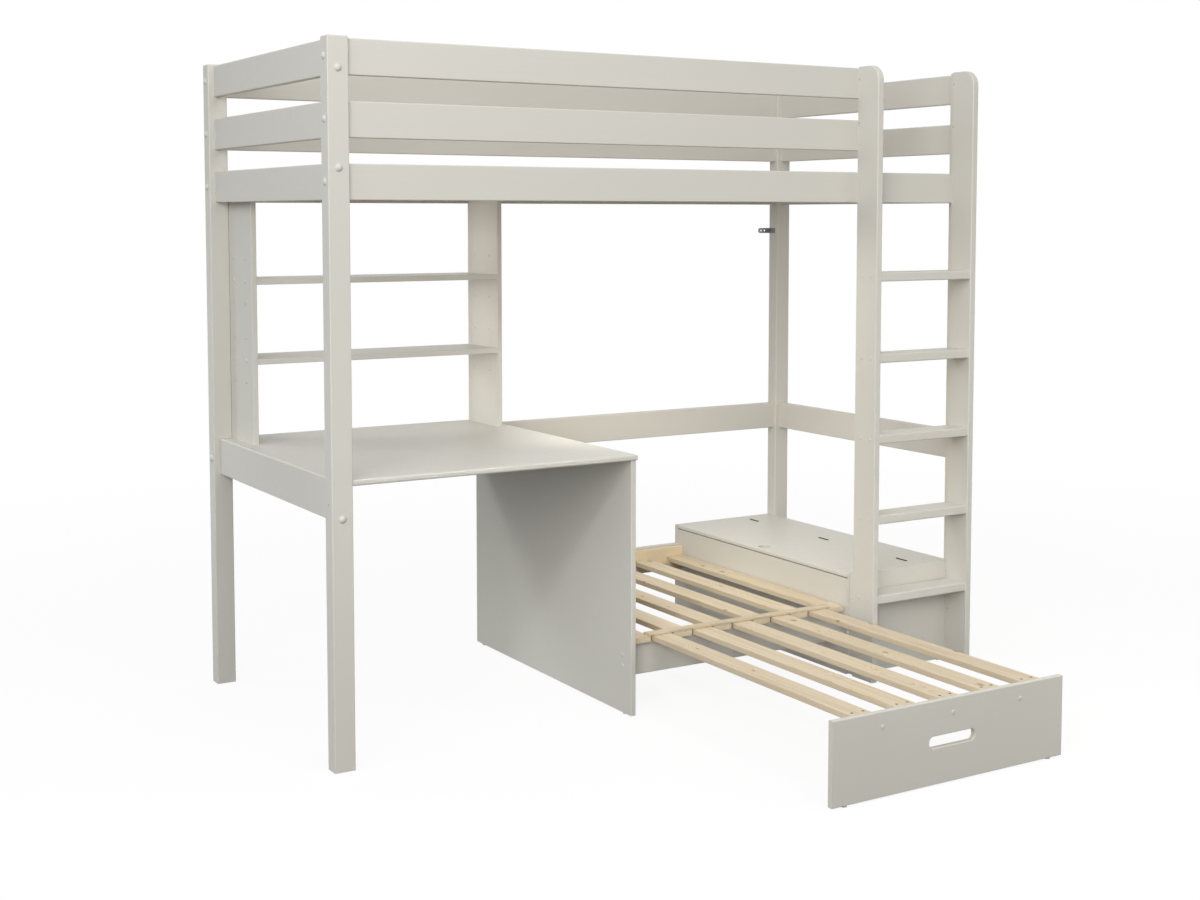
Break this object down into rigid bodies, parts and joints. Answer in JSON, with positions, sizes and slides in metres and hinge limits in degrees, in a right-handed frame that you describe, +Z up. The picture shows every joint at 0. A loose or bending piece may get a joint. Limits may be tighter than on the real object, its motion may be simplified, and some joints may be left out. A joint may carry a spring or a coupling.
{
  "type": "high sleeper bed",
  "caption": "Wooden high sleeper bed with a ladder, a desk under it, wall shelves, a lidded storage box and a slatted guest bed that pulls out.",
  "frame": {"origin": "on the floor, in the middle of the area that the part covers with the guest bed pulled out", "axes": "+X along the bed towards the ladder end, +Y from the open front towards the wall, +Z up"},
  "size_m": [2.134, 1.814, 1.83],
  "materials": {
    "painted_wood": "satin paint",
    "pine": "bare planed pine",
    "steel": "zinc plated",
    "cap_plastic": "moulded",
    "glide_plastic": "moulded"
  },
  "bodies": {
    "frame": {"bed_slats": "pine", "bolt_caps": "cap_plastic", "box_base": "painted_wood", "box_fixed_top": "painted_wood", "box_front_panel": "painted_wood", "box_left_panel": "painted_wood", "box_rear_panel": "painted_wood", "box_right_panel": "painted_wood", "desk_leg_panel": "painted_wood", "desk_top": "painted_wood", "floor_glides": "glide_plastic", "frame_bolts": "steel", "front_rail_lower": "painted_wood", "front_rail_middle": "painted_wood", "front_rail_top": "painted_wood", "hinge_fixed_leaves": "steel", "hinge_pins": "steel", "ladder_rung_1": "painted_wood", "ladder_rung_2": "painted_wood", "ladder_rung_3": "painted_wood", "ladder_rung_4": "painted_wood", "ladder_rung_5": "painted_wood", "ladder_stile_left": "painted_wood", "ladder_stile_right": "painted_wood", "ledger_battens": "pine", "left_desk_rail": "painted_wood", "left_rail_lower": "painted_wood", "left_rail_middle": "painted_wood", "left_rail_top": "painted_wood", "post_front_left": "painted_wood", "post_front_right": "painted_wood", "post_rear_left": "painted_wood", "post_rear_right": "painted_wood", "rear_rail_lower": "painted_wood", "rear_rail_middle": "painted_wood", "rear_rail_top": "painted_wood", "rear_seat_rail": "painted_wood", "right_rail_lower": "painted_wood", "right_rail_middle": "painted_wood", "right_rail_top": "painted_wood", "right_seat_rail": "painted_wood", "seat_fixed_slats": "pine", "seat_front_rail": "painted_wood", "seat_rear_board": "pine", "seat_rear_rail": "painted_wood", "shelf_lower": "painted_wood", "shelf_screws": "steel", "shelf_upper": "painted_wood", "shelf_upright_left": "painted_wood", "shelf_upright_right": "painted_wood", "slat_guide_strip": "pine", "wall_bracket": "steel"},
    "guest_bed": {"guest_front_panel": "painted_wood", "guest_slats": "pine", "guest_front_batten": "pine", "guest_stop_batten": "pine", "guest_glides": "glide_plastic"},
    "storage_lid": {"box_lid": "painted_wood", "hinge_lid_leaves": "steel"}
  },
  "joints": [
    {"name": "guest_bed_slide", "type": "slide", "parent": "frame", "child": "guest_bed", "axis": [0, 1, 0], "range_m": [0, 0.8085]},
    {"name": "lid_hinge", "type": "hinge", "parent": "frame", "child": "storage_lid", "pos_m": [0.879, 0.4205, 0.312], "axis": [0, 1, 0], "range_deg": [0, 115]}
  ]
}
